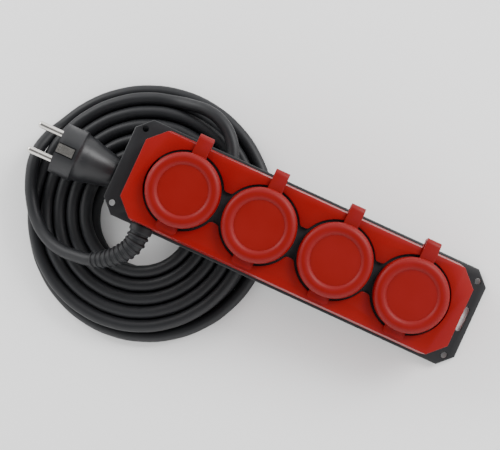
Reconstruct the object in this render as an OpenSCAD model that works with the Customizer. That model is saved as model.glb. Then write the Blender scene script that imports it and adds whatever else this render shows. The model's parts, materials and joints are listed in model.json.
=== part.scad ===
// Four-way portable socket outlet with flip-up lids, its rubber cable wound in a flat coil, and its plug.
// Millimetres, +Z up. The strip leans on the plug and the coil; its low end stands on the ground.

/* [Base plate] */
// How far each flange reaches past the cover's end
flange_l = 11.5; // [9.5:0.5:20]
// How far the plate's long edges stand out past the cover
plate_rim = 2; // [1:0.5:4]
// Thickness of the base plate
plate_t = 3; // [2.5:0.5:4]

/* [Cover] */
// Length of the cover past the middle of an end socket
cover_margin = 39; // [38:0.5:48]
// Width of the cover at its foot
cover_w = 68; // [66:1:82]
// How far each wall leans in over the cover's height
cover_inset = 2.5; // [1.5:0.25:3]
// Corner chamfer of the cover, seen from above
cover_corner = 12.5; // [9:0.5:14]
// Wall thickness of the cover
wall = 2.6; // [2.2:0.2:3.2]

/* [Sockets] */
// Distance between two sockets
pitch = 55; // [54:0.5:70]
// Inside diameter of a socket well
well_d = 39; // [32:0.5:39.5]
// Depth of a socket well
well_depth = 17.5; // [16:0.5:18]
// How much wider a lid is than the well it covers
lid_margin = 11.5; // [11:0.5:12.5]

/* [Cable] */
// Outside diameter of the cable
cable_d = 9; // [7.5:0.5:9]
// Outside diameter of the coil
coil_d = 192; // [186:1:194]

/* [Hidden] */

$fn = 64;
eps = 0.05;

// overall sizes
lid_d = well_d + lid_margin;
cover_l = 3 * pitch + 2 * cover_margin;
plate_l = cover_l + 2 * flange_l;
plate_w = cover_w + 2 * plate_rim;

// heights above the underside of the base plate
gasket_t = 0.8;
cover_z0 = plate_t + gasket_t;
floor_z = plate_t + 20.5; // top of a well's floor, so that 19 mm pins end above the plate
floor_t = 3;
rim_z = floor_z + well_depth;
cover_top = rim_z - 5;
insert_top = cover_top - wall;
insert_t = 2;
lid_gap = 0.3;
lid_bottom = cover_top - 0.8;
lid_under = rim_z + lid_gap;
lid_top = rim_z + 4;

socket_x = [for (i = [-1.5:1:1.5]) i * pitch];
pin_pitch = 19;
lid_r = lid_d / 2;
collar_r = well_d / 2 + 2.3;
skirt_r = collar_r + 1.1; // room for the skirt to swing clear of the collar

// the scalloped opening in the cover's top
scallop_r = lid_r + 1.75;
channel_w = 22;

// lid hinge, on the far long side
hinge_y = cover_w / 2 + 2;
hinge_z = rim_z - 10.5;
hinge_r = 2.4;
pin_r = 1;
barrel_w = 5;
strap_w = 10;
strap_t = 2.2;
strap_y = hinge_y + 3.2;
ear_gap = 0.3;
ear_t = 2.2;

// fixings
flange_x = cover_l / 2 + 4.5;
flange_y = plate_w / 2 - 8;
flange_hole_r = 2.25;
slot_len = 18;
slot_w = 4.5;
side_boss_y = cover_w / 2 - 10;
end_boss = [cover_l / 2 - wall - 5.9, cover_w / 2 - cover_corner - 1.5];
case_bosses = concat([for (x = [-1, 1]) for (y = [-1, 1]) [x * end_boss[0], y * end_boss[1]]],
  [for (y = [-1, 1]) [0, y * side_boss_y]]);
insert_bosses = [for (x = [-1, 1]) for (y = [-1, 1]) [x * pitch, y * side_boss_y]];
boss_r = 3.5;

// contacts
bar_t = 0.8;
tray_z = plate_t + 0.4;
tray_t = 2.6;
bar_z = tray_z + tray_t;
bar_y = 8;
bar_w = 6;
clip_gap = 4.8;
clip_top = bar_z + 12;
earth_z = floor_z - floor_t - bar_t - 0.6;
earth_y = 15.5;

// cable entry, in the near long wall beside the first socket
entry_x = -1.5 * pitch - 16.5;
entry_z = plate_t + 11;
cable_r = cable_d / 2;
gland_out = cover_w / 2 + 3.5;
neck_r = cable_r + 2;
gland_rim_r = neck_r + 1.1;
gland_rim_t = 1.4;
wall_lean = cover_inset * (entry_z + gland_rim_r - cover_z0) / (cover_top - cover_z0);
gland_seat = gland_out - cover_w / 2 + wall_lean + wall + 0.12; // the rim starts just past the wall
saddle_l = 6;
saddle_y = gland_seat + gland_rim_t + 0.3 + saddle_l / 2 - gland_out;
saddle_w = cable_d + 8.6;
cable_stop = -saddle_y - saddle_l / 2 - 0.7; // how far from the middle the sheath ends
sleeve_r = neck_r + 1.5;
sleeve_tip_r = cable_r + 1.2;
core_r = 1.3;

// how the strip stands: its far end on the ground, its cable end up on the plug
lean = 8.7;
lean_shift = [-0.23, (plate_w / 2 - strap_y) / 2, plate_l / 2 * sin(lean)];
function leaned(p) = lean_shift
  + [p[0] * cos(lean) + p[2] * sin(lean), p[1], p[2] * cos(lean) - p[0] * sin(lean)];

// the coil lies on the ground in two layers, the upper one a little smaller
coil_at = [-107, -29, 0];
coil_r = coil_d / 2;
upper_r = coil_r - 7.3;
coil_hole_r = 33;

// centre of the plug's front face, how far its tail points down, and its lengths
plug_at = [-176, -10.5, 39.9];
plug_tilt = 13.6;
plug_len = 44;
plug_tail = 27;
plug_dir = [cos(plug_tilt), 0, -sin(plug_tilt)];

// the free stretches of the cable, as points on the ground frame
entry = leaned([entry_x, -gland_out, entry_z]);
lead_path = [entry, entry + [0, -3, 0], entry + [0, -6, 0], [-97, -50.5, 48.4], [-101, -57, 47.2],
  [-109, -65, 44.4], [-119.5, -71, 40.6], [-133, -74, 35.6], [-147, -75, 30.5], [-161, -72, 26], [-174, -64, 23.4], [-184, -52, 22.8],
  [-191.5, -38, 22], [-196, -24, 19.5], [-196.5, -9, 12.5], [-191.8, 5.3, 5.4]];
lead_steps = 3;
sleeve_end = 6 * lead_steps; // the sleeve covers the first six spans
plug_tip = plug_at + (plug_len + plug_tail) * plug_dir;
plug_path = [plug_tip, plug_tip + 3 * plug_dir, plug_tip + 6 * plug_dir, [-94, -11.5, 21.8], [-82, -9.5, 22.6],
  [-71.5, -3, 23], [-64.5, 8, 23], [-62, 21, 23], [-64, 34, 23], [-71, 45.5, 23], [-82, 53.5, 22.8],
  [-94, 56.6, 21.2], [-106, 56, 18.2], [-118, 54.5, 14.5]];

red = [0.72, 0.08, 0.07];
black = [0.05, 0.05, 0.055];

// ---- sweeps ----

// points of a Catmull-Rom curve through pts, with the given steps in each span
function clamp_at(v, i) = v[max(0, min(len(v) - 1, i))];
function curve_point(a, b, c, d, t) =
  0.5 * (2 * b + (c - a) * t + (2 * a - 5 * b + 4 * c - d) * t * t + (3 * b - a - 3 * c + d) * t * t * t);
function curve(pts, steps) = concat(
  [for (i = [0:len(pts) - 2]) for (s = [0:steps - 1])
    curve_point(clamp_at(pts, i - 1), pts[i], pts[i + 1], clamp_at(pts, i + 2), s / steps)],
  [pts[len(pts) - 1]]);
function unit(v) = v / norm(v);
function heading(line, i) = unit(clamp_at(line, i + 1) - clamp_at(line, i - 1));
// two directions square to a heading, with one of them level
function level(h) = unit([-h[1], h[0], 0]);

// a tube along a line of points, from one to another of them; radii gives its radius at each
module tube(line, radii, sides = 10, first = 0, last = undef) {
  stop = last == undef ? len(line) - 1 : last;
  n = stop - first + 1;
  points = [for (i = [first:stop]) let (h = heading(line, i), a = level(h), b = cross(h, a))
    for (k = [0:sides - 1]) line[i] + radii[i] * (a * cos(360 * k / sides) + b * sin(360 * k / sides))];
  skin = [for (i = [0:n - 2]) for (k = [0:sides - 1]) let (j = (k + 1) % sides)
    [i * sides + k, (i + 1) * sides + k, (i + 1) * sides + j, i * sides + j]];
  ends = [[for (k = [0:sides - 1]) k], [for (k = [sides - 1:-1:0]) (n - 1) * sides + k]];
  polyhedron(points, concat(skin, ends), convexity = 10);
}
module plain_tube(line, r, sides = 10, first = 0) {
  tube(line, [for (p = line) r], sides, first);
}

// ---- shared shapes ----

module lean_strip() {
  translate(lean_shift) rotate([0, lean, 0]) children();
}
// a prism along X whose half-width goes from half at its foot to half - inset at its top
module leaning_prism(half, inset, h, reach) {
  rotate([90, 0, 90])
    translate([0, 0, -reach])
      linear_extrude(2 * reach)
        polygon([[-half, 0], [half, 0], [half - inset, h], [inset - half, h]]);
}
// a block with leaning walls and chamfered corners
module leaning_block(l, w, corner, inset, h) {
  diagonal = (l / 2 + w / 2 - corner) / sqrt(2);
  intersection() {
    leaning_prism(w / 2, inset, h, l);
    rotate([0, 0, 90]) leaning_prism(l / 2, inset, h, l);
    rotate([0, 0, 45]) leaning_prism(diagonal, inset, h, l);
    rotate([0, 0, -45]) leaning_prism(diagonal, inset, h, l);
  }
}
module chamfered_outline(l, w, c) {
  polygon([[c - l / 2, -w / 2], [l / 2 - c, -w / 2], [l / 2, c - w / 2], [l / 2, w / 2 - c],
    [l / 2 - c, w / 2], [c - l / 2, w / 2], [-l / 2, w / 2 - c], [-l / 2, c - w / 2]]);
}
module scallops() {
  for (x = socket_x) translate([x, 0]) circle(scallop_r);
  square([3 * pitch, channel_w], center = true);
}
// a screw along +Z from its head's face: countersunk head, then shank
module countersunk_screw(head_r, shank_r, length) {
  cylinder(r1 = head_r, r2 = shank_r, h = head_r - shank_r);
  cylinder(r = shank_r, h = length);
}
module pan_screw(head_r, head_h, shank_r, length) {
  difference() {
    translate([0, 0, -head_h]) cylinder(r = head_r, h = head_h);
    translate([0, 0, -head_h - eps]) rotate([0, 0, 45]) {
      translate([-head_r * 0.6, -0.35, 0]) cube([head_r * 1.2, 0.7, head_h * 0.5]);
      translate([-0.35, -head_r * 0.6, 0]) cube([0.7, head_r * 1.2, head_h * 0.5]);
    }
  }
  cylinder(r = shank_r, h = length);
}

// ---- casing ----

clamp_screw_x = cable_r + 2.1;
module at_saddle(z) {
  translate([entry_x, saddle_y, z]) children();
}
module cable_bore(r) {
  rotate([90, 0, 0]) cylinder(r = r, h = 60, center = true);
}

module base_plate() {
  color(black) lean_strip() {
    difference() {
      linear_extrude(plate_t) chamfered_outline(plate_l, plate_w, 9.7);
      for (x = [-1, 1]) for (y = [-1, 1])
        translate([x * flange_x, y * flange_y, -1]) cylinder(r = flange_hole_r, h = plate_t + 2);
      translate([flange_x + 1, 0, -1]) hanging_slot();
      for (p = case_bosses) translate([p[0], p[1], 0]) {
        translate([0, 0, -1]) cylinder(r = 1.7, h = plate_t + 2);
        translate([0, 0, -eps]) cylinder(r1 = 3.3, r2 = 1.7, h = 1.6);
      }
    }
    // the lower half of the cord grip
    difference() {
      at_saddle(plate_t - eps) translate([-saddle_w / 2, -saddle_l / 2, 0])
        cube([saddle_w, saddle_l, entry_z - plate_t - 0.6]);
      at_saddle(entry_z) cable_bore(cable_r);
      for (s = [-1, 1]) at_saddle(plate_t + 1) translate([s * clamp_screw_x, 0, 0]) cylinder(r = 1.25, h = 20);
    }
  }
}
module hanging_slot() {
  linear_extrude(plate_t + 2) {
    for (s = [-1, 1]) translate([0, s * (slot_len - slot_w) / 2]) circle(d = slot_w);
    square([slot_w, slot_len - slot_w], center = true);
    translate([-1.2, 0]) circle(3.8);
  }
}
module base_gasket() {
  color([0.1, 0.1, 0.1]) lean_strip() translate([0, 0, plate_t]) linear_extrude(gasket_t) difference() {
    chamfered_outline(cover_l - 1, cover_w - 1, cover_corner);
    chamfered_outline(cover_l - 2 * wall - 1, cover_w - 2 * wall - 1, cover_corner - wall * 0.6);
  }
}
module cover() {
  h = cover_top - cover_z0;
  color(red) lean_strip() difference() {
    union() {
      difference() {
        translate([0, 0, cover_z0]) leaning_block(cover_l, cover_w, cover_corner, cover_inset, h);
        translate([0, 0, cover_z0 - eps])
          leaning_block(cover_l - 2 * wall, cover_w - 2 * wall, cover_corner - 0.6 * wall,
            cover_inset * (h - wall) / h, h - wall + eps);
      }
      for (p = case_bosses) translate([p[0], p[1], plate_t])
        cylinder(r = boss_r, h = cover_top - wall / 2 - plate_t);
      for (p = insert_bosses) translate([p[0], p[1], insert_top - 1.8]) cylinder(r = 3, h = 1.8 + wall / 2);
      for (x = socket_x) translate([x, 0, 0]) hinge_ears();
    }
    translate([0, 0, insert_top - 5]) linear_extrude(wall + 10) scallops();
    for (p = case_bosses) translate([p[0], p[1], plate_t - eps]) cylinder(r = 1.25, h = 16);
    for (p = insert_bosses) translate([p[0], p[1], insert_top - 2]) cylinder(r = 1, h = 3.8);
    for (x = socket_x) translate([x - strap_w, hinge_y, hinge_z]) rotate([0, 90, 0])
      cylinder(r = pin_r, h = 2 * strap_w);
    translate([entry_x, 8 - cover_w / 2, entry_z]) rotate([90, 0, 0]) cylinder(r = neck_r, h = 14);
  }
}
module hinge_ears() {
  for (s = [-1, 1]) translate([s * (barrel_w / 2 + ear_gap + ear_t / 2) - ear_t / 2, 0, 0]) {
    translate([0, hinge_y, hinge_z]) rotate([0, 90, 0]) cylinder(r = hinge_r, h = ear_t);
    translate([0, hinge_y - 5, hinge_z - hinge_r]) cube([ear_t, 5, 2 * hinge_r]);
  }
}
// the black panel seen between the lids, with a hole for each socket
module socket_panel() {
  color([0.07, 0.07, 0.075]) lean_strip() difference() {
    translate([0, 0, insert_top - insert_t]) linear_extrude(insert_t)
      square([3 * pitch + 47, cover_w - 11], center = true);
    for (x = socket_x) translate([x, 0, insert_top - 5]) cylinder(r = collar_r + 0.05, h = 10);
    for (p = insert_bosses) translate([p[0], p[1], insert_top - 5]) cylinder(r = 3.1, h = 10);
    for (s = [-1, 1]) translate([0, s * side_boss_y, insert_top - 5]) cylinder(r = boss_r + 0.1, h = 10);
  }
}
// one socket: a round cup with a step that seats under the panel
module socket(i) {
  color([0.07, 0.07, 0.075]) lean_strip() translate([socket_x[i], 0, 0]) difference() {
    union() {
      translate([0, 0, floor_z - floor_t]) cylinder(r = collar_r, h = rim_z - floor_z + floor_t);
      translate([0, 0, insert_top - insert_t - 1.6]) cylinder(r = collar_r + 1.2, h = 1.6);
    }
    translate([0, 0, floor_z]) cylinder(r = well_d / 2, h = well_depth + 1);
    for (s = [-1, 1]) {
      translate([s * pin_pitch / 2, 0, floor_z - floor_t - 1]) cylinder(r = 2.75, h = floor_t + 2);
      translate([-4.2, s * (well_d / 2 - 0.8) - 1.9, floor_z - floor_t - 1]) cube([8.4, 3.8, well_depth - 0.5]);
    }
  }
  color([0.07, 0.07, 0.075]) lean_strip() translate([socket_x[i], 0, 0]) guide_ribs();
}
// the two ribs that guide a plug's side notches
module guide_ribs() {
  for (s = [-1, 1]) translate([s * (well_d / 2 - 0.8) - 0.9, -2.2, floor_z - eps])
    cube([1.8, 4.4, well_depth - 2]);
}

// ---- contacts and wiring ----

module contact_tray() {
  length = 3 * pitch + 48;
  color([0.85, 0.84, 0.8]) lean_strip() difference() {
    union() {
      translate([-length / 2, -14, tray_z]) cube([length, 28, tray_t]);
      for (s = [-1, 1]) translate([-length / 2, s * 12.8 - 0.8, bar_z - eps]) cube([length, 1.6, 3]);
      for (x = [-1:1]) translate([x * pitch - 9, -2, bar_z - eps]) cube([18, 4, 5]);
    }
    for (x = socket_x) for (s = [-1, 1])
      translate([x + s * pin_pitch / 2, 0, tray_z + 0.8]) cylinder(r = 3, h = tray_t);
  }
}
// a bar along the strip with a two-leaf clip under one pin hole of each socket
module busbar(side) {
  start = -3 * pitch / 2 - 20;
  end = 3 * pitch / 2 + 14;
  translate([start, side * bar_y - bar_w / 2, bar_z]) cube([end - start, bar_w, bar_t]);
  for (x = socket_x) translate([x - side * pin_pitch / 2 - 3, 0, bar_z]) {
    translate([0, side > 0 ? 0 : -bar_y, 0]) cube([6, bar_y, bar_t]);
    translate([0, -clip_gap / 2 - bar_t, 0]) cube([6, clip_gap + 2 * bar_t, bar_t]);
    for (s = [-1, 1]) translate([0, s * (clip_gap + bar_t) / 2 - bar_t / 2, 0])
      cube([6, bar_t, clip_top - bar_z]);
  }
}
module line_busbar() {
  color([0.78, 0.6, 0.25]) lean_strip() busbar(1);
}
module neutral_busbar() {
  color([0.78, 0.6, 0.25]) lean_strip() busbar(-1);
}
module earth_leaf() {
  rotate([90, 0, 90]) translate([0, 0, -3]) linear_extrude(6)
    translate([well_d / 2, 0])
      polygon([[0.3, earth_z], [1.1, earth_z], [1.1, floor_z + 4], [-0.3, floor_z + 9], [0.7, floor_z + 13],
        [-0.1, floor_z + 13], [-1.2, floor_z + 9], [0.3, floor_z + 4]]);
}
module earth_rail() {
  color([0.75, 0.74, 0.7]) lean_strip() {
    translate([-3 * pitch / 2 - 17.5, -earth_y - 2.5, earth_z]) cube([3 * pitch + 24, 5, bar_t]);
    for (x = socket_x) translate([x, 0, 0]) {
      translate([-3, -well_d / 2 - 1.1, earth_z]) cube([6, well_d + 2.2, bar_t]);
      earth_leaf();
      mirror([0, 1, 0]) earth_leaf();
    }
  }
}
// each terminal is a small block on its bar, with a bore for the core and a screw on top
cage = 6;
cage_x = -3 * pitch / 2 - 17;
cage_z = bar_z + bar_t;
core_z = cage_z + 2.6;
earth_cage_x = -3 * pitch / 2 - 14;
earth_core_z = earth_z - 2.6;
module terminals() {
  color([0.78, 0.6, 0.25]) lean_strip() {
    for (s = [-1, 1]) difference() {
      translate([cage_x - cage / 2, s * bar_y - cage / 2, cage_z]) cube([cage, cage, cage]);
      translate([cage_x, s * bar_y, core_z]) rotate([0, 90, 0])
        cylinder(r = core_r + 0.1, h = 2 * cage, center = true);
      translate([cage_x, s * bar_y, core_z]) cylinder(r = 1.2, h = cage);
    }
    difference() {
      translate([earth_cage_x - cage / 2, -earth_y - cage / 2, earth_z - cage]) cube([cage, cage, cage]);
      translate([earth_cage_x, -earth_y, earth_core_z]) rotate([90, 0, 0])
        cylinder(r = core_r + 0.1, h = 2 * cage, center = true);
      translate([earth_cage_x, -earth_y, earth_core_z - cage]) cylinder(r = 1.2, h = cage);
    }
  }
}
module terminal_screws() {
  color([0.7, 0.7, 0.72]) lean_strip() {
    for (s = [-1, 1]) translate([cage_x, s * bar_y, cage_z + cage]) mirror([0, 0, 1])
      pan_screw(1.9, 1.2, 1.2, 2.1);
    translate([earth_cage_x, -earth_y, earth_z - cage]) pan_screw(1.9, 1.2, 1.2, 2.1);
  }
}
// a core that leaves the sheath straight and ends straight in its terminal
module wire(points, last_step) {
  tip = points[len(points) - 1];
  straight = concat([for (y = [0, 0.5, 1]) points[0] + [0, y, 0]], [for (i = [1:len(points) - 2]) points[i]],
    [tip - last_step, tip]);
  lean_strip() plain_tube(curve(straight, 2), core_r, 8);
}
module wire_line() {
  color([0.35, 0.16, 0.07])
    wire([[entry_x - 1.6, -cable_stop, entry_z + 1.4], [entry_x - 4.4, 6 - cable_stop, entry_z + 2],
      [entry_x - 7, -bar_y, entry_z + 1.4], [entry_x - 8.2, 0, entry_z - 1.4],
      [entry_x - 7.4, bar_y - 2.4, core_z + 0.6],
      [cage_x + 1, bar_y, core_z]], [5.6, 0, 0]);
}
module wire_neutral() {
  color([0.05, 0.2, 0.55])
    wire([[entry_x, -cable_stop, entry_z - 2], [entry_x - 2.6, 4.1 - cable_stop, entry_z - 2.4],
      [entry_x - 6, -bar_y - 5.2, core_z + 1.3], [entry_x - 7.2, -bar_y - 1.6, core_z + 0.4],
      [cage_x + 1, -bar_y, core_z]], [5.6, 0, 0]);
}
module wire_earth() {
  color([0.5, 0.6, 0.1])
    wire([[entry_x + 1.8, -cable_stop, entry_z + 1.2], [entry_x + 2.2, 1.7 - cable_stop, earth_core_z - 0.4],
      [earth_cage_x, -earth_y, earth_core_z]], [0, 3.2, 0]);
}
module cable_end() {
  color(black) lean_strip() translate([entry_x, -gland_out, entry_z]) rotate([-90, 0, 0])
    cylinder(r = cable_r, h = gland_out - cable_stop);
}
module cord_clamp() {
  color([0.85, 0.84, 0.8]) lean_strip() difference() {
    at_saddle(entry_z + 0.6) translate([-saddle_w / 2, -saddle_l / 2, 0]) cube([saddle_w, saddle_l, 6]);
    at_saddle(entry_z) cable_bore(cable_r);
    for (s = [-1, 1]) at_saddle(entry_z) translate([s * clamp_screw_x, 0, 0]) cylinder(r = 1.5, h = 20);
  }
}
module clamp_screws() {
  color([0.7, 0.7, 0.72]) lean_strip() for (s = [-1, 1])
    at_saddle(entry_z + 6.6) translate([s * clamp_screw_x, 0, 0]) mirror([0, 0, 1]) pan_screw(2, 1.4, 1.25, 14);
}
module insert_screws() {
  color([0.7, 0.7, 0.72]) lean_strip() for (p = insert_bosses)
    translate([p[0], p[1], insert_top - insert_t]) pan_screw(4, 1.4, 1, 3.6);
}
module case_screws() {
  color([0.7, 0.7, 0.72]) lean_strip() for (p = case_bosses)
    translate([p[0], p[1], 0.2]) countersunk_screw(2.8, 1.25, 14);
}

// ---- lids, at rest: closed ----

// outline of a lid's half section: a flat centre, then a thick ring with a round shoulder
module lid_section() {
  shoulder = 4;
  polygon(concat(
    [[0, lid_under], [0, lid_top - 1.6], [16.8, lid_top - 1.6], [17.8, lid_top - 0.6], [19, lid_top - 0.1]],
    [for (a = [90:-15:0]) [lid_r - shoulder + shoulder * cos(a), lid_top - shoulder + shoulder * sin(a)]],
    [[lid_r, lid_bottom], [skirt_r, lid_bottom], [skirt_r, lid_under], [collar_r - 0.2, lid_under],
      [collar_r - 0.2, lid_under + 0.8], [well_d / 2 + 0.1, lid_under + 0.8], [well_d / 2 + 0.1, lid_under]]));
}
module lid_tab() {
  tab_w = 14.4;
  tab_y = lid_r + 4.4;
  round_r = 3;
  translate([0, 0, cover_top + 0.5]) linear_extrude(2.4) {
    translate([-tab_w / 2, round_r - tab_y]) square([tab_w, tab_y - round_r - skirt_r + 2]);
    translate([round_r - tab_w / 2, -tab_y]) square([tab_w - 2 * round_r, round_r + 1]);
    for (s = [-1, 1]) translate([s * (tab_w / 2 - round_r), round_r - tab_y]) circle(round_r);
  }
}
// the strap runs level over the cover's edge, turns down, and ends in the hinge barrel
module strap_side() {
  top = cover_top + 0.6 + strap_t;
  bend = 3.6;
  polygon(concat(
    [[skirt_r + 0.6, top - strap_t], [skirt_r + 0.6, top]],
    [for (a = [90:-15:0]) [strap_y - bend + bend * cos(a), top - bend + bend * sin(a)]],
    [[strap_y, hinge_z + 2.9], [strap_y - strap_t, hinge_z + 2.9], [strap_y - strap_t, top - strap_t - 1],
      [strap_y - strap_t - 1, top - strap_t]]));
}
module along_x(w) {
  translate([-w / 2, 0, 0]) rotate([90, 0, 90]) linear_extrude(w) children();
}
module lid_barrel() {
  along_x(barrel_w) translate([hinge_y, hinge_z]) circle(hinge_r);
  along_x(barrel_w) polygon([[hinge_y, hinge_z], [hinge_y + hinge_r, hinge_z], [strap_y, hinge_z + 2.2],
    [strap_y, hinge_z + 3.4], [hinge_y + 0.6, hinge_z + 3.4], [hinge_y, hinge_z + 2]]);
}
module lid(i) {
  color(red) lean_strip() translate([socket_x[i], 0, 0]) difference() {
    union() {
      rotate_extrude($fn = 96) lid_section();
      difference() {
        lid_tab();
        translate([0, 0, cover_top]) cylinder(r = skirt_r + 0.4, h = 5);
      }
      along_x(strap_w) strap_side();
      lid_barrel();
    }
    translate([-barrel_w, hinge_y, hinge_z]) rotate([0, 90, 0]) cylinder(r = pin_r + 0.06, h = 2 * barrel_w);
  }
}
// the rubber ring under each lid that presses on the socket's rim
module lid_seal(i) {
  color([0.1, 0.1, 0.1]) lean_strip() translate([socket_x[i], 0, rim_z + 0.02]) difference() {
    cylinder(r = collar_r - 0.2, h = lid_gap - 0.02 + 0.8);
    translate([0, 0, -1]) cylinder(r = well_d / 2 + 0.1, h = 5);
  }
}
module hinge_pins() {
  pin_l = barrel_w + 2 * (ear_gap + ear_t);
  color([0.7, 0.7, 0.72]) lean_strip() for (x = socket_x)
    translate([x - pin_l / 2, hinge_y, hinge_z]) rotate([0, 90, 0]) cylinder(r = pin_r, h = pin_l);
}

// ---- cable ----

// a rubber bush whose neck sits in the wall
module cable_gland() {
  color(black) lean_strip() translate([entry_x, -gland_out, entry_z]) rotate([-90, 0, 0]) difference() {
    union() {
      cylinder(r = sleeve_r, h = 3.6);
      cylinder(r = neck_r, h = gland_seat + gland_rim_t / 2);
      translate([0, 0, gland_seat]) cylinder(r = gland_rim_r, h = gland_rim_t);
    }
    translate([0, 0, -1]) cylinder(r = cable_r, h = 12);
  }
}
module bend_sleeve() {
  line = curve(lead_path, lead_steps);
  radii = [for (i = [0:len(line) - 1]) sleeve_r + (sleeve_tip_r - sleeve_r) * min(1, i / sleeve_end)];
  color(black) tube(line, radii, 12, 0, sleeve_end);
}
module supply_cable() {
  color(black) plain_tube(curve(lead_path, lead_steps), cable_r, first = sleeve_end);
}
module cable_coil() {
  color(black) translate(coil_at) rotate_extrude($fn = 96) {
    layer(coil_r, 0);
    layer(upper_r, cable_d);
    // the layers bear on each other
    translate([coil_hole_r + cable_r, cable_r]) square([upper_r - coil_hole_r - cable_d, cable_d]);
  }
}
module layer(outer, z) {
  for (r = [coil_hole_r + cable_r, outer - cable_r]) translate([r, z + cable_r]) circle(cable_r);
  translate([coil_hole_r + cable_r, z]) square([outer - coil_hole_r - cable_d, cable_d]);
}
module plug_cable() {
  color(black) plain_tube(curve(plug_path, 2), cable_r);
}

// ---- plug, drawn from its front face along +X ----

plug_face_r = 18.4;
module place_plug() {
  translate(plug_at) rotate([0, plug_tilt, 0]) children();
}
module turned(points) {
  rotate([0, 90, 0]) rotate_extrude() polygon(points);
}
module plug_body() {
  color(black) place_plug() difference() {
    turned([[0, 2.5], [plug_face_r, 2.5], [plug_face_r, 11], [18.7, 12], [18.7, 15], [17.2, 17], [16.2, 23],
      [13.8, 31], [11.2, plug_len - 2], [10.2, plug_len], [0, plug_len]]);
    // channels for the two side earth clips
    for (s = [-1, 1]) translate([2, -4, s * 18.4 - 1.6]) cube([11, 8, 3.2]);
    // guide notches beside the pins
    for (s = [-1, 1]) translate([-1, s * 18.4 - 1.6, -2.6]) cube([12, 3.2, 5.2]);
  }
}
module plug_face() {
  color([0.12, 0.12, 0.125]) place_plug() difference() {
    rotate([0, 90, 0]) cylinder(r = plug_face_r, h = 2.5);
    for (s = [-1, 1]) {
      translate([-1, s * pin_pitch / 2, 0]) rotate([0, 90, 0]) cylinder(r = 2.4, h = 5);
      translate([-1, -4, s * 18.4 - 1.6]) cube([5, 8, 3.2]);
      translate([-1, s * 18.4 - 1.6, -2.6]) cube([5, 3.2, 5.2]);
    }
    // hole for the earth pin of the other socket standard
    translate([-1, 0, 10]) rotate([0, 90, 0]) cylinder(r = 2.6, h = 5);
  }
}
module plug_pins() {
  color([0.75, 0.75, 0.77]) place_plug() for (s = [-1, 1]) translate([0, s * pin_pitch / 2, 0]) {
    translate([-17.2, 0, 0]) rotate([0, 90, 0]) cylinder(r = 2.4, h = 19.7);
    translate([-17.2, 0, 0]) sphere(r = 2.4);
  }
}
module plug_earth_clips() {
  color([0.75, 0.75, 0.77]) place_plug() for (s = [0, 1]) mirror([0, 0, s]) {
    translate([0.4, -3.2, plug_face_r - 1.5]) cube([12, 6.4, 0.8]);
    translate([0.4, -3.2, plug_face_r - 1.5]) cube([0.8, 6.4, 1.4]);
  }
}
module plug_sleeve() {
  ribs = 8;
  step = plug_tail / ribs;
  r0 = sleeve_r;
  r1 = cable_r + 1.1;
  color(black) place_plug() turned(concat([[0, plug_len]],
    [for (i = [0:ribs - 1]) for (k = [0, 1]) let (x = plug_len + (i + k * 0.6) * step)
      [r0 + (r1 - r0) * i / ribs, x]],
    [[r1, plug_len + plug_tail], [0, plug_len + plug_tail]]));
}

base_plate();
base_gasket();
cover();
socket_panel();
socket(0);  // socket_1
socket(1);  // socket_2
socket(2);  // socket_3
socket(3);  // socket_4
contact_tray();
lid(0);  // lid_1
lid(1);  // lid_2
lid(2);  // lid_3
lid(3);  // lid_4
lid_seal(0);  // lid_seal_1
lid_seal(1);  // lid_seal_2
lid_seal(2);  // lid_seal_3
lid_seal(3);  // lid_seal_4
hinge_pins();
line_busbar();
neutral_busbar();
earth_rail();
terminals();
terminal_screws();
wire_line();
wire_neutral();
wire_earth();
cable_end();
cord_clamp();
clamp_screws();
insert_screws();
case_screws();
cable_gland();
bend_sleeve();
supply_cable();
cable_coil();
plug_cable();
plug_body();
plug_face();
plug_pins();
plug_earth_clips();
plug_sleeve();
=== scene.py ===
import json
import math

import bmesh
import bpy
from mathutils import Matrix, Vector


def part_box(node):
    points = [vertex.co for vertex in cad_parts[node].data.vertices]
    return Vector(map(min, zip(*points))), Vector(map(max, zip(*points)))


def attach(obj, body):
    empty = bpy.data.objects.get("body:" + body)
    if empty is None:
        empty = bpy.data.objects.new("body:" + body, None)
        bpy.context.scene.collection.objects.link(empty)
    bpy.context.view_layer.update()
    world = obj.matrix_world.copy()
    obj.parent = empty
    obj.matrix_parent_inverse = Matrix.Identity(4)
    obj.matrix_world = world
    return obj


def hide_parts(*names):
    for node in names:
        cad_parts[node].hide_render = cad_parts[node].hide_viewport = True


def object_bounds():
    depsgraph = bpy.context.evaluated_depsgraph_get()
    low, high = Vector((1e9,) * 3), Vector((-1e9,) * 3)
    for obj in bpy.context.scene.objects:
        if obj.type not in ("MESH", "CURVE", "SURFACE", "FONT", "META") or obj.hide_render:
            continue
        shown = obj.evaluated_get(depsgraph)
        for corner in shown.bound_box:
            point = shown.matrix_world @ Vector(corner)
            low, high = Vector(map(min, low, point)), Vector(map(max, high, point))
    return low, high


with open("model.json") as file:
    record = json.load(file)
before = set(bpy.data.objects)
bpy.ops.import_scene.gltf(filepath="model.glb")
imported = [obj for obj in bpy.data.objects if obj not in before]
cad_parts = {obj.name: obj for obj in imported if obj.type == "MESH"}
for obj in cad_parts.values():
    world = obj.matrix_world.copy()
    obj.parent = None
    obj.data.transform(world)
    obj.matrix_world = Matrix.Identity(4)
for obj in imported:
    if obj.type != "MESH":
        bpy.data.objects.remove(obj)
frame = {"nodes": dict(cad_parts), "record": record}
cad_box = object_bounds()


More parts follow.
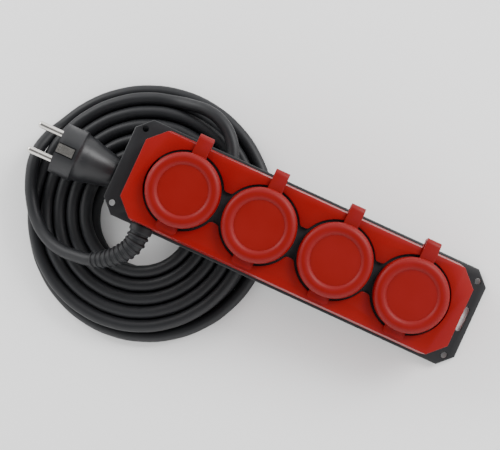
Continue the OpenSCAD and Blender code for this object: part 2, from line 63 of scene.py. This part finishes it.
# ---- How the strip stands ----
# The strip leans on its plug. Its own axes, along it, across it and up from its plate, come from the
# two rows of holes in its flanges.
mm = 0.001
mounts = {mount["name"]: mount for mount in frame["record"]["mounts"]}
cable_end_holes = Vector(mounts["flange_holes_cable_end"]["pos_m"])
slot_end_holes = Vector(mounts["flange_holes_slot_end"]["pos_m"])
strip_up = Vector(mounts["flange_holes_slot_end"]["axis"])
strip_along = (slot_end_holes - cable_end_holes).normalized()
strip_across = strip_up.cross(strip_along)
plate_t = 3 * mm
strip = Matrix((strip_along, strip_across, strip_up)).transposed().to_4x4()
strip.translation = (cable_end_holes + slot_end_holes) / 2 - strip_up * plate_t / 2


# ---- Camera ----
# It looks square at the strip's plate from a good arm's length, turned so that the strip runs
# down to the right.
camera_data = bpy.data.cameras.new("camera")
camera_data.lens = 83.3
camera_data.sensor_width = 36
camera = bpy.data.objects.new("camera", camera_data)
bpy.context.scene.collection.objects.link(camera)
bpy.context.scene.camera = camera
camera_distance = 800 * mm
camera_place = Matrix.Translation((-33 * mm, -2.3 * mm, camera_distance))
camera_roll = Matrix.Rotation(math.radians(24.7), 4, "Z")
camera.matrix_world = strip @ camera_place @ camera_roll


# ---- Cable ----
# Three cores in a black rubber sheath, 9 mm across and nominally 5 m long. It leaves the strip's near
# side, drops over the coil, is wound inwards on the ground and outwards on top, and turns back to its plug.
patches_per_metre = 45
gloss_spread = 0.07
skin_depth = 0.1 * mm


def moulded(name, colour, roughness, grain=0.6, bump=0.15, mottle=0.12, shine=0.5):
    """A moulded plastic or rubber: mottled colour, uneven gloss and a fine skin, grain in millimetres."""
    material = bpy.data.materials.new(name)
    material.use_nodes = True
    nodes, links = material.node_tree.nodes, material.node_tree.links
    shader = nodes["Principled BSDF"]
    place = nodes.new("ShaderNodeTexCoord").outputs["Object"]
    patches = nodes.new("ShaderNodeTexNoise")
    patches.inputs["Scale"].default_value = patches_per_metre
    patches.inputs["Detail"].default_value = 4
    skin = nodes.new("ShaderNodeTexNoise")
    skin.inputs["Scale"].default_value = 1000 / grain
    skin.inputs["Detail"].default_value = 2
    for texture in (patches, skin):
        links.new(place, texture.inputs["Vector"])
    tint = nodes.new("ShaderNodeMix")
    tint.data_type = "RGBA"
    tint.inputs["A"].default_value = (*[c * (1 - mottle) for c in colour], 1)
    tint.inputs["B"].default_value = (*[min(1, c * (1 + mottle)) for c in colour], 1)
    links.new(patches.outputs["Fac"], tint.inputs["Factor"])
    links.new(tint.outputs["Result"], shader.inputs["Base Color"])
    gloss = nodes.new("ShaderNodeMapRange")
    gloss.inputs["To Min"].default_value = roughness - gloss_spread
    gloss.inputs["To Max"].default_value = roughness + gloss_spread
    links.new(patches.outputs["Fac"], gloss.inputs["Value"])
    links.new(gloss.outputs["Result"], shader.inputs["Roughness"])
    relief = nodes.new("ShaderNodeBump")
    relief.inputs["Strength"].default_value = bump
    relief.inputs["Distance"].default_value = skin_depth
    links.new(skin.outputs["Fac"], relief.inputs["Height"])
    links.new(relief.outputs["Normal"], shader.inputs["Normal"])
    shader.inputs["Specular IOR Level"].default_value = shine
    return material


def added(name, data):
    piece = bpy.data.objects.new(name, data)
    bpy.context.scene.collection.objects.link(piece)
    return piece


cable_d = 9 * mm
gland_face = Vector((-99 * mm, -37.5 * mm, 14 * mm))  # on the strip's own axes
entry = strip @ gland_face
straight_out = [entry - Vector((0, reach, 0)) * mm for reach in (0, 3, 6)]
sleeve_points = [(-97, -50.5, 48.4), (-101, -57, 47.2), (-109, -65, 44.4), (-119.5, -71, 40.6)]
lead_points = [(-133, -74, 35.6), (-147, -75, 30.5), (-161, -72, 26), (-174, -64, 23.4), (-184, -52, 22.8),
               (-191.5, -38, 22), (-196, -24, 19.5), (-196.5, -9, 12.5)]
tail_points = [(-106, 56, 18.2), (-94, 56.6, 21.2), (-82, 53.5, 22.8), (-71, 45.5, 23), (-64, 34, 23),
               (-62, 21, 23), (-64.5, 8, 23), (-71.5, -3, 23), (-82, -9.5, 22.6), (-94, -11.5, 21.8)]
plug_tilt = math.radians(13.6)
plug = Matrix.Translation(Vector((-176, -10.5, 39.9)) * mm) @ Matrix.Rotation(plug_tilt, 4, "Y")
plug_len = 44 * mm
plug_tail = 27 * mm

coil_low, coil_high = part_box("cable_coil")
coil_middle = (Vector(coil_low) + Vector(coil_high)) / 2
cable_r = cable_d / 2
outer_turn_r = (coil_high[0] - coil_low[0]) / 2 - cable_r
inner_turn_r = 37.5 * mm
steps_per_turn = 24
lower_turns = 6
upper_turns = 5.168
climb = 1 / 3  # how much of a turn the cable takes to rise to the upper layer
start_angle = math.radians(158)
upper_end_r = 84 * mm


def on_coil(turned, radius, height):
    angle = start_angle - turned * math.tau
    x = coil_middle.x + radius * math.cos(angle)
    y = coil_middle.y + radius * math.sin(angle)
    return Vector((x, y, height))


coil_points = []
for step in range(lower_turns * steps_per_turn):
    turned = step / steps_per_turn
    radius = outer_turn_r + (inner_turn_r - outer_turn_r) * turned / lower_turns
    coil_points.append(on_coil(turned, radius, cable_r))
coil_points[0].z = 5.4 * mm  # still coming down from the lead
for step in range(int(upper_turns * steps_per_turn) + 1):
    turned = step / steps_per_turn
    outward = max(0, turned - climb) / (upper_turns - climb)
    height = cable_r + cable_d * min(1, turned / climb)
    radius = inner_turn_r + (upper_end_r - inner_turn_r) * outward
    coil_points.append(on_coil(lower_turns + turned, radius, height))
into_plug = [plug @ Vector((plug_len + plug_tail, 0, 0)), plug @ Vector((plug_len + 8 * mm, 0, 0))]
route = (straight_out + [Vector(point) * mm for point in sleeve_points + lead_points] + coil_points
         + [Vector(point) * mm for point in tail_points] + into_plug)

cable_line = bpy.data.curves.new("cable", "CURVE")
cable_line.dimensions = "3D"
cable_line.resolution_u = 4
cable_line.bevel_depth = cable_r
cable_line.bevel_resolution = 5
cable_line.use_fill_caps = True
spline = cable_line.splines.new("BEZIER")
spline.bezier_points.add(len(route) - 1)
for knot, point in zip(spline.bezier_points, route):
    knot.co = point
    knot.handle_left_type = knot.handle_right_type = "AUTO"
cable = added("cable", cable_line)
sheath_black = moulded("cable sheath", (0.008, 0.0085, 0.01), 0.5,
                       grain=0.9, bump=0.25, mottle=0.25, shine=0.3)
cable_line.materials.append(sheath_black)
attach(cable, "root")
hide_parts("supply_cable", "cable_coil", "plug_cable")


# ---- Bend sleeve and plug tail ----
# Soft rubber sleeves moulded as a row of rings on a thin wall, so that the cable can't kink where it
# leaves the strip and the plug. Both taper towards the cable.
def rib_tree():
    tree = bpy.data.node_groups.new("rings along a line", "GeometryNodeTree")
    ports = tree.interface
    ports.new_socket("Line", in_out="INPUT", socket_type="NodeSocketGeometry")
    for label in ("Start Radius", "End Radius", "Ring Thickness"):
        ports.new_socket(label, in_out="INPUT", socket_type="NodeSocketFloat")
    ports.new_socket("Count", in_out="INPUT", socket_type="NodeSocketInt")
    ports.new_socket("Rubber", in_out="INPUT", socket_type="NodeSocketMaterial")
    ports.new_socket("Mesh", in_out="OUTPUT", socket_type="NodeSocketGeometry")
    nodes, links = tree.nodes, tree.links
    given = nodes.new("NodeGroupInput")
    along = nodes.new("GeometryNodeSplineParameter")
    taper = nodes.new("ShaderNodeMapRange")
    links.new(along.outputs["Factor"], taper.inputs["Value"])
    links.new(given.outputs["Start Radius"], taper.inputs["To Min"])
    links.new(given.outputs["End Radius"], taper.inputs["To Max"])
    tapered = nodes.new("GeometryNodeSetCurveRadius")
    links.new(given.outputs["Line"], tapered.inputs["Curve"])
    links.new(taper.outputs["Result"], tapered.inputs["Radius"])
    outline = nodes.new("GeometryNodeCurvePrimitiveCircle")
    outline.inputs["Resolution"].default_value = 40
    outline.inputs["Radius"].default_value = 1
    wall = nodes.new("GeometryNodeCurveToMesh")
    links.new(tapered.outputs["Curve"], wall.inputs["Curve"])
    links.new(outline.outputs["Curve"], wall.inputs["Profile Curve"])
    links.new(taper.outputs["Result"], wall.inputs["Scale"])
    wall.inputs["Fill Caps"].default_value = True
    bead = nodes.new("GeometryNodeCurvePrimitiveCircle")
    bead.inputs["Resolution"].default_value = 12
    links.new(given.outputs["Ring Thickness"], bead.inputs["Radius"])
    ring = nodes.new("GeometryNodeCurveToMesh")
    links.new(outline.outputs["Curve"], ring.inputs["Curve"])
    links.new(bead.outputs["Curve"], ring.inputs["Profile Curve"])
    spots = nodes.new("GeometryNodeCurveToPoints")
    links.new(tapered.outputs["Curve"], spots.inputs["Curve"])
    links.new(given.outputs["Count"], spots.inputs["Count"])
    size = nodes.new("GeometryNodeInputRadius")
    rings = nodes.new("GeometryNodeInstanceOnPoints")
    links.new(spots.outputs["Points"], rings.inputs["Points"])
    links.new(ring.outputs["Mesh"], rings.inputs["Instance"])
    links.new(spots.outputs["Rotation"], rings.inputs["Rotation"])
    links.new(size.outputs["Radius"], rings.inputs["Scale"])
    both = nodes.new("GeometryNodeJoinGeometry")
    links.new(wall.outputs["Mesh"], both.inputs["Geometry"])
    links.new(rings.outputs["Instances"], both.inputs["Geometry"])
    real = nodes.new("GeometryNodeRealizeInstances")
    links.new(both.outputs["Geometry"], real.inputs["Geometry"])
    painted = nodes.new("GeometryNodeSetMaterial")
    links.new(real.outputs["Geometry"], painted.inputs["Geometry"])
    links.new(given.outputs["Rubber"], painted.inputs["Material"])
    made = nodes.new("NodeGroupOutput")
    links.new(painted.outputs["Geometry"], made.inputs["Mesh"])
    return tree


def baked(name, holder, tree, values):
    """A plain mesh piece made by a node tree on the holder, which is then removed."""
    modifier = holder.modifiers.new("made", "NODES")
    modifier.node_group = tree
    for item in tree.interface.items_tree:
        if item.in_out == "INPUT" and item.name in values:
            modifier[item.identifier] = values[item.name]
    view_layer = bpy.context.evaluated_depsgraph_get()
    mesh = bpy.data.meshes.new_from_object(holder.evaluated_get(view_layer))
    holder.modifiers.clear()
    bpy.data.objects.remove(holder)
    shape = bmesh.new()
    shape.from_mesh(mesh)
    bmesh.ops.remove_doubles(shape, verts=shape.verts, dist=0.001 * mm)
    bmesh.ops.recalc_face_normals(shape, faces=shape.faces)
    for face in shape.faces:
        face.smooth = len(face.verts) < 5
    shape.to_mesh(mesh)
    shape.free()
    return added(name, mesh)


def line_through(name, points):
    line = bpy.data.curves.new(name, "CURVE")
    line.dimensions = "3D"
    line.resolution_u = 6
    path = line.splines.new("BEZIER")
    path.bezier_points.add(len(points) - 1)
    for knot, point in zip(path.bezier_points, points):
        knot.co = point
        knot.handle_left_type = knot.handle_right_type = "AUTO"
    return added(name, line)


soft_black = moulded("soft rubber", (0.009, 0.0095, 0.011), 0.55, grain=0.7, bump=0.3, mottle=0.2, shine=0.3)
ribs = rib_tree()
ring_share = 0.86  # the wall's radius as a share of the rings' outer radius
sleeve_root_r = 8 * mm
sleeve_tip_r = 5.7 * mm
sleeve_sizes = {"Start Radius": sleeve_root_r * ring_share, "End Radius": sleeve_tip_r * ring_share,
                "Ring Thickness": 0.17, "Count": 12, "Rubber": soft_black}
sleeve_route = straight_out + [Vector(point) * mm for point in sleeve_points]
sleeve_line = line_through("sleeve line", sleeve_route)
bend_sleeve = baked("bend_sleeve_rings", sleeve_line, ribs, sleeve_sizes)
tail_sizes = dict(sleeve_sizes, Count=8)
tail_route = [plug @ Vector((plug_len + plug_tail * share, 0, 0)) for share in (0, 0.5, 1)]
tail_line = line_through("tail line", tail_route)
plug_tail_rings = baked("plug_tail_rings", tail_line, ribs, tail_sizes)
for piece, node, slot in ((bend_sleeve, "bend_sleeve", "rubber_black"),
                          (plug_tail_rings, "plug_sleeve", "plug_black")):
    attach(piece, "root")
    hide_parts(node)
frame["nodes"]["cable_gland"].data.materials[0] = soft_black


# ---- Base plate ----
# An injection-moulded black plate with a flange at each end. The flanges have screw holes in their
# corners, and one of them a slot to hang the strip by.
seam_gap = 0.002 * mm
smooth_up_to = math.radians(30)


def rounded(node, name, material, picks):
    """A copy of a CAD node's mesh with some edges rounded. A pick is a test on an edge's two ends, in
    millimetres from the strip's own origin, then a width in millimetres and a number of steps."""
    mesh = frame["nodes"][node].data.copy()
    mesh.transform(frame["nodes"][node].matrix_world)
    shape = bmesh.new()
    shape.from_mesh(mesh)
    bpy.data.meshes.remove(mesh)
    bmesh.ops.remove_doubles(shape, verts=shape.verts, dist=seam_gap)
    bmesh.ops.dissolve_limit(shape, angle_limit=math.radians(0.6), verts=shape.verts, edges=shape.edges)
    to_strip = strip.inverted()
    for test, width, steps in picks:
        chosen = []
        for edge in shape.edges:
            ends = [to_strip @ end.co / mm for end in edge.verts]
            sharp = len(edge.link_faces) == 2 and edge.calc_face_angle(0) > math.radians(25)
            if sharp and test(*ends):
                chosen.append(edge)
        bmesh.ops.bevel(shape, geom=chosen, offset=width * mm, segments=steps, profile=0.5,
                        affect="EDGES", clamp_overlap=True)
    bmesh.ops.remove_doubles(shape, verts=shape.verts, dist=seam_gap)
    for face in shape.faces:
        face.smooth = True
    mesh = bpy.data.meshes.new(name)
    shape.to_mesh(mesh)
    shape.free()
    for leftover in ("custom_normal", "sharp_edge", "sharp_face"):
        if leftover in mesh.attributes:
            mesh.attributes.remove(mesh.attributes[leftover])
    mesh.set_sharp_from_angle(angle=smooth_up_to)
    mesh.materials.clear()
    mesh.materials.append(material)
    piece = added(name, mesh)
    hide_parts(node)
    return piece


plate_black = moulded("plate black", (0.012, 0.0125, 0.014), 0.42, grain=0.5, bump=0.2, shine=0.35)


def is_plate_rim(a, b):
    return min(a.z, b.z) > 2.9 and max(a.z, b.z) < 3.1 and (a - b).length > 8


plate = rounded("base_plate", "plate", plate_black, [(is_plate_rim, 0.7, 3)])
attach(plate, "root")
frame["nodes"]["base_gasket"].data.materials[0] = soft_black


# ---- Cover ----
# A red shell with walls that lean in and chamfered corners. Its top has a scalloped opening that the
# lids lie in, and hinge ears stand on its far side.
housing_red = moulded("housing red", (0.2, 0.0013, 0.0013), 0.38,
                      grain=0.5, bump=0.1, mottle=0.06, shine=0.28)
cover_top = 36
channel_half = 11


def is_wall_corner(a, b):
    return abs(a.z - b.z) > 20 and max(abs(a.x), abs(b.x)) > 60 and max(abs(a.y), abs(b.y)) > 10


def is_top_edge(a, b):
    return min(a.z, b.z) > cover_top - 0.1


def is_outer_edge(a, b):
    return is_wall_corner(a, b) or is_top_edge(a, b)


def is_cusp(a, b):
    upright = abs(a.z - b.z) > 2 and abs(a.x - b.x) < 0.1
    return upright and max(a.z, b.z) > cover_top - 0.1 and abs(abs(a.y) - channel_half) < 0.5


cover = rounded("cover", "cover_shell", housing_red, [(is_cusp, 1.6, 4), (is_outer_edge, 1.1, 4)])
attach(cover, "root")


# ---- Panel and sockets ----
# Black inserts seen between the lids: a flat panel with a round socket cup standing through each hole.
insert_black = moulded("insert black", (0.012, 0.012, 0.014), 0.48, grain=0.6, bump=0.2, shine=0.35)
for node in ("socket_panel", "socket_1", "socket_2", "socket_3", "socket_4"):
    frame["nodes"][node].data.materials[0] = insert_black


# ---- Lids ----
# Four red caps of soft plastic. Each is turned with a raised ring round a flat disc, and has a lift
# tab on the near side and a strap that hooks over the far edge to its hinge.
lid_red = moulded("lid red", (0.165, 0.0012, 0.0012), 0.46,
                  grain=0.8, bump=0.15, mottle=0.07, shine=0.2)


def is_tab_edge(a, b):
    return max(a.y, b.y) < -24.5 and abs(a.z - b.z) < 0.1


def is_strap_edge(a, b):
    return min(a.y, b.y) > 24 and abs(a.x - b.x) < 0.1


for number in (1, 2, 3, 4):
    lid = rounded(f"lid_{number}", f"lid_cap_{number}", lid_red,
                  [(is_tab_edge, 0.6, 3), (is_strap_edge, 0.5, 3)])
    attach(lid, f"lid_body_{number}")
    frame["nodes"][f"lid_seal_{number}"].data.materials[0] = soft_black


# ---- Plug ----
# A moulded rubber plug with two round nickel pins, an earth clip on each side, and a plastic face.
def metal(name, colour, roughness):
    material = bpy.data.materials.new(name)
    material.use_nodes = True
    nodes, links = material.node_tree.nodes, material.node_tree.links
    shader = nodes["Principled BSDF"]
    shader.inputs["Metallic"].default_value = 1
    shader.inputs["Base Color"].default_value = (*colour, 1)
    marks = nodes.new("ShaderNodeTexNoise")
    marks.inputs["Scale"].default_value = 400
    links.new(nodes.new("ShaderNodeTexCoord").outputs["Object"], marks.inputs["Vector"])
    gloss = nodes.new("ShaderNodeMapRange")
    gloss.inputs["To Min"].default_value = roughness - 0.08
    gloss.inputs["To Max"].default_value = roughness + 0.08
    links.new(marks.outputs["Fac"], gloss.inputs["Value"])
    links.new(gloss.outputs["Result"], shader.inputs["Roughness"])
    return material


nickel = metal("nickel", (0.62, 0.6, 0.57), 0.25)
plug_black = moulded("plug rubber", (0.01, 0.0105, 0.012), 0.38,
                     grain=0.6, bump=0.25, mottle=0.2, shine=0.35)
plug_shell = rounded("plug_body", "plug_shell", plug_black, [])
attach(plug_shell, "root")
frame["nodes"]["plug_face"].data.materials[0] = insert_black
for node in ("plug_pins", "plug_earth_clips"):
    frame["nodes"][node].data.materials[0] = nickel


# ---- Contacts, wires and screws inside ----
# Brass bars with clips under the sockets, three coloured cores from the cord grip to the terminals,
# and zinc-plated screws.
brass = metal("contact brass", (0.66, 0.45, 0.16), 0.3)
zinc = metal("zinc plate", (0.6, 0.6, 0.62), 0.35)
ivory = moulded("ivory tray", (0.75, 0.73, 0.66), 0.5)
finishes = {
    "line_busbar": brass, "neutral_busbar": brass, "terminals": brass, "earth_rail": nickel,
    "hinge_pins": zinc, "terminal_screws": zinc, "clamp_screws": zinc, "insert_screws": zinc,
    "case_screws": zinc, "contact_tray": ivory, "cord_clamp": ivory, "cable_end": sheath_black,
    "wire_line": moulded("brown core", (0.12, 0.05, 0.03), 0.4),
    "wire_neutral": moulded("blue core", (0.03, 0.1, 0.4), 0.4),
    "wire_earth": moulded("green core", (0.3, 0.45, 0.04), 0.4),
}
for node, finish in finishes.items():
    frame["nodes"][node].data.materials[0] = finish


# ---- Floor and light ----
# A plain pale floor, one broad soft light from beyond the hinges and a weaker one from the plug's side.
floor_shape = bmesh.new()
floor_half = 4
below_object = 0.2 * mm
bmesh.ops.create_grid(floor_shape, x_segments=1, y_segments=1, size=floor_half)
bmesh.ops.translate(floor_shape, verts=floor_shape.verts, vec=(0, 0, cad_box[0][2] - below_object))
floor_mesh = bpy.data.meshes.new("floor")
floor_shape.to_mesh(floor_mesh)
floor_shape.free()
floor = added("floor", floor_mesh)
floor_mesh.materials.append(moulded("pale floor", (0.9, 0.9, 0.9), 0.8, mottle=0, bump=0))

world = bpy.data.worlds.new("studio")
bpy.context.scene.world = world
world.use_nodes = True
air, joins = world.node_tree.nodes, world.node_tree.links
direction = air.new("ShaderNodeSeparateXYZ")
joins.new(air.new("ShaderNodeTexCoord").outputs["Generated"], direction.inputs["Vector"])
height = air.new("ShaderNodeMapRange")  # bright walls all round, a dimmer ceiling
height.inputs["From Min"].default_value = 0.55
height.inputs["From Max"].default_value = 0.95
height.inputs["To Min"].default_value = 2.3
height.inputs["To Max"].default_value = 0.15
joins.new(direction.outputs["Z"], height.inputs["Value"])
joins.new(height.outputs["Result"], air["Background"].inputs["Strength"])
air["Background"].inputs["Color"].default_value = (1, 1, 1, 1)


def soft_light(name, place, size, power):
    lamp = bpy.data.lights.new(name, "AREA")
    lamp.shape = "DISK"
    lamp.size = size
    lamp.energy = power
    light = added(name, lamp)
    light.location = place
    light.rotation_euler = (-Vector(place)).to_track_quat("-Z", "Y").to_euler()
    return light


soft_light("key", (0.9, 1.3, 1.1), 0.9, 30)
soft_light("fill", (-1.4, 0.5, 0.9), 0.8, 14)
